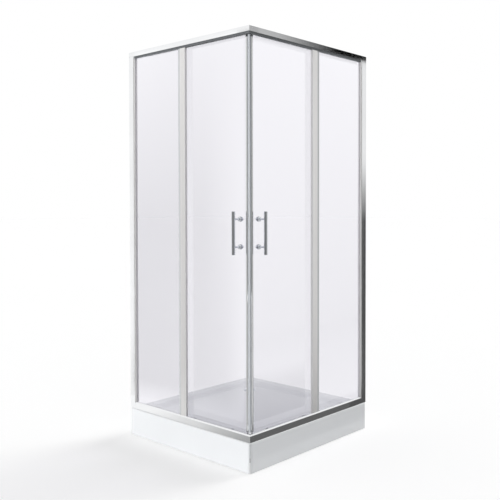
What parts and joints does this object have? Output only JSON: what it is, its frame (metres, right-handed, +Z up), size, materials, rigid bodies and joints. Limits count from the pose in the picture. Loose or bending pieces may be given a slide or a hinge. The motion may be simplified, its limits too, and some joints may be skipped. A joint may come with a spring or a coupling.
{
  "type": "shower enclosure",
  "caption": "Square corner-entry shower enclosure: white tray on levelling feet, fixed glass panes at the walls and sliding glass doors on grooved rollers meeting at the corner.",
  "frame": {"origin": "on the floor under the middle of the tray, at the underside of the middle foot", "axes": "+Z up; the glazed sides face -Y and +X and meet at the +X -Y corner; the walls stand at -X and +Y"},
  "size_m": [0.915, 0.915, 2.02],
  "materials": {
    "tray_acrylic": "smooth white sanitary acrylic, high gloss",
    "board_chipboard": "resin-coated chipboard",
    "foot_plastic": "moulded dark plastic",
    "zinc_steel": "zinc-plated steel",
    "waste_plastic": "moulded white polypropylene",
    "chrome_plate": "bright chrome plate",
    "bright_aluminium": "polished, bright anodised extrusion",
    "clear_glass": "clear toughened glass with ground edges",
    "seal_vinyl": "soft translucent vinyl",
    "strip_vinyl": "extruded dark grey vinyl",
    "bumper_rubber": "moulded black rubber",
    "wheel_nylon": "moulded white nylon"
  },
  "bodies": {
    "enclosure": {"adjuster_screws": "zinc_steel", "corner_cleats": "zinc_steel", "corner_screws": "zinc_steel", "door_bumpers": "bumper_rubber", "drain_cover": "chrome_plate", "drain_flange": "chrome_plate", "fixed_pane_gaskets": "seal_vinyl", "foot_nuts": "zinc_steel", "foot_pads": "foot_plastic", "foot_studs": "zinc_steel", "left_bottom_rail": "bright_aluminium", "left_fixed_pane": "clear_glass", "left_pane_post": "bright_aluminium", "left_top_rail": "bright_aluminium", "left_top_rail_strip": "strip_vinyl", "left_wall_adjuster": "bright_aluminium", "left_wall_channel": "bright_aluminium", "right_bottom_rail": "bright_aluminium", "right_fixed_pane": "clear_glass", "right_pane_post": "bright_aluminium", "right_top_rail": "bright_aluminium", "right_top_rail_strip": "strip_vinyl", "right_wall_adjuster": "bright_aluminium", "right_wall_channel": "bright_aluminium", "tray_base_board": "board_chipboard", "tray_shell": "tray_acrylic", "waste_body": "waste_plastic"},
    "left_door": {"left_bottom_brackets": "zinc_steel", "left_door_glass": "clear_glass", "left_drip_seal": "seal_vinyl", "left_front_stile": "bright_aluminium", "left_handle_bar": "chrome_plate", "left_handle_knobs": "chrome_plate", "left_handle_standoffs": "chrome_plate", "left_lip_seal": "seal_vinyl", "left_magnet_seal": "seal_vinyl", "left_rear_stile": "bright_aluminium", "left_roller_screws": "zinc_steel", "left_top_hangers": "zinc_steel"},
    "right_door": {"right_bottom_brackets": "zinc_steel", "right_door_glass": "clear_glass", "right_drip_seal": "seal_vinyl", "right_front_stile": "bright_aluminium", "right_handle_bar": "chrome_plate", "right_handle_knobs": "chrome_plate", "right_handle_standoffs": "chrome_plate", "right_lip_seal": "seal_vinyl", "right_magnet_seal": "seal_vinyl", "right_rear_stile": "bright_aluminium", "right_roller_screws": "zinc_steel", "right_top_hangers": "zinc_steel"},
    "left_front_bottom_wheel": {"left_front_bottom_wheel": "wheel_nylon"},
    "left_front_top_wheel": {"left_front_top_wheel": "wheel_nylon"},
    "left_rear_bottom_wheel": {"left_rear_bottom_wheel": "wheel_nylon"},
    "left_rear_top_wheel": {"left_rear_top_wheel": "wheel_nylon"},
    "right_front_bottom_wheel": {"right_front_bottom_wheel": "wheel_nylon"},
    "right_front_top_wheel": {"right_front_top_wheel": "wheel_nylon"},
    "right_rear_bottom_wheel": {"right_rear_bottom_wheel": "wheel_nylon"},
    "right_rear_top_wheel": {"right_rear_top_wheel": "wheel_nylon"}
  },
  "joints": [
    {"name": "left_door_slide", "type": "slide", "parent": "enclosure", "child": "left_door", "axis": [-1, 0, 0], "range_m": [0, 0.325]},
    {"name": "right_door_slide", "type": "slide", "parent": "enclosure", "child": "right_door", "axis": [0, 1, 0], "range_m": [0, 0.325]},
    {"name": "left_front_top_wheel_spin", "type": "hinge", "parent": "left_door", "child": "left_front_top_wheel", "pos_m": [0.295, -0.4005, 2.0045], "axis": [0, 1, 0], "range_deg": [-1970, 10]},
    {"name": "left_front_bottom_wheel_spin", "type": "hinge", "parent": "left_door", "child": "left_front_bottom_wheel", "pos_m": [0.295, -0.4005, 0.1523], "axis": [0, 1, 0], "range_deg": [-2200, 10]},
    {"name": "left_rear_top_wheel_spin", "type": "hinge", "parent": "left_door", "child": "left_rear_top_wheel", "pos_m": [0.031, -0.4005, 2.0045], "axis": [0, 1, 0], "range_deg": [-1970, 10]},
    {"name": "left_rear_bottom_wheel_spin", "type": "hinge", "parent": "left_door", "child": "left_rear_bottom_wheel", "pos_m": [0.031, -0.4005, 0.1523], "axis": [0, 1, 0], "range_deg": [-2200, 10]},
    {"name": "right_front_top_wheel_spin", "type": "hinge", "parent": "right_door", "child": "right_front_top_wheel", "pos_m": [0.4005, -0.295, 2.0045], "axis": [1, 0, 0], "range_deg": [-1970, 10]},
    {"name": "right_front_bottom_wheel_spin", "type": "hinge", "parent": "right_door", "child": "right_front_bottom_wheel", "pos_m": [0.4005, -0.295, 0.1523], "axis": [1, 0, 0], "range_deg": [-2200, 10]},
    {"name": "right_rear_top_wheel_spin", "type": "hinge", "parent": "right_door", "child": "right_rear_top_wheel", "pos_m": [0.4005, -0.031, 2.0045], "axis": [1, 0, 0], "range_deg": [-1970, 10]},
    {"name": "right_rear_bottom_wheel_spin", "type": "hinge", "parent": "right_door", "child": "right_rear_bottom_wheel", "pos_m": [0.4005, -0.031, 0.1523], "axis": [1, 0, 0], "range_deg": [-2200, 10]}
  ],
  "couplings": [
    {"joint": "left_front_top_wheel_spin", "follows": "left_door_slide", "rad_per_m": -105.26},
    {"joint": "left_front_bottom_wheel_spin", "follows": "left_door_slide", "rad_per_m": -117.65},
    {"joint": "left_rear_top_wheel_spin", "follows": "left_door_slide", "rad_per_m": -105.26},
    {"joint": "left_rear_bottom_wheel_spin", "follows": "left_door_slide", "rad_per_m": -117.65},
    {"joint": "right_front_top_wheel_spin", "follows": "right_door_slide", "rad_per_m": -105.26},
    {"joint": "right_front_bottom_wheel_spin", "follows": "right_door_slide", "rad_per_m": -117.65},
    {"joint": "right_rear_top_wheel_spin", "follows": "right_door_slide", "rad_per_m": -105.26},
    {"joint": "right_rear_bottom_wheel_spin", "follows": "right_door_slide", "rad_per_m": -117.65}
  ]
}
